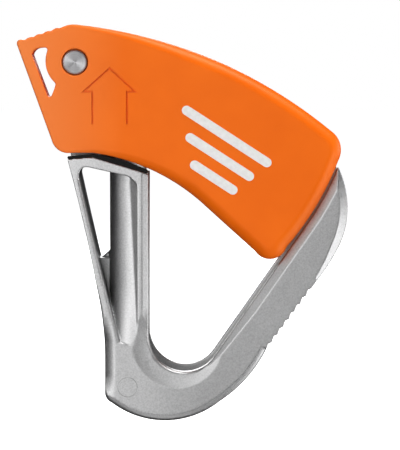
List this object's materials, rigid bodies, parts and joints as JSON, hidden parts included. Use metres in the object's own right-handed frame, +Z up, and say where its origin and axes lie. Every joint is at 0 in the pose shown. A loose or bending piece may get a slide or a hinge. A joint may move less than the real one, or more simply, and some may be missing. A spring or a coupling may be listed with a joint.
{
  "type": "rope ascender",
  "caption": "Compact rope ascender: alloy V frame with a rope channel, a hidden tooth plate, and a sprung nylon arm that presses the rope.",
  "frame": {"origin": "centre of the round bottom of the connector opening, on the middle plane between the two cheeks", "axes": "+Z up along the rope, +X towards the frame's right arm, the axle's head faces -Y"},
  "size_m": [0.0662, 0.0183, 0.0797],
  "materials": {
    "frame_alloy": "bead-blasted, matt",
    "stainless": "satin",
    "black_rubber": "matt",
    "axle_steel": "turned",
    "washer_plastic": "matt",
    "spring_steel": "bright wire",
    "orange_nylon": "fine satin grain"
  },
  "bodies": {
    "frame": {"frame_body": "frame_alloy", "toothed_insert": "stainless", "insert_rivets": "stainless", "stop_pad": "black_rubber", "pivot_axle": "axle_steel", "pivot_washer": "washer_plastic", "axle_rear_washer": "axle_steel", "torsion_spring": "spring_steel"},
    "arm": {"arm_shell": "orange_nylon", "arm_rear_cover": "orange_nylon"}
  },
  "joints": [
    {"name": "arm_pivot", "type": "hinge", "parent": "frame", "child": "arm", "pos_m": [-0.0219, 0, 0.055], "axis": [0, -1, 0], "range_deg": [0, 50], "stiffness_Nm_per_rad": 0.03, "springref_deg": -45.84, "deforming": ["torsion_spring"]}
  ]
}
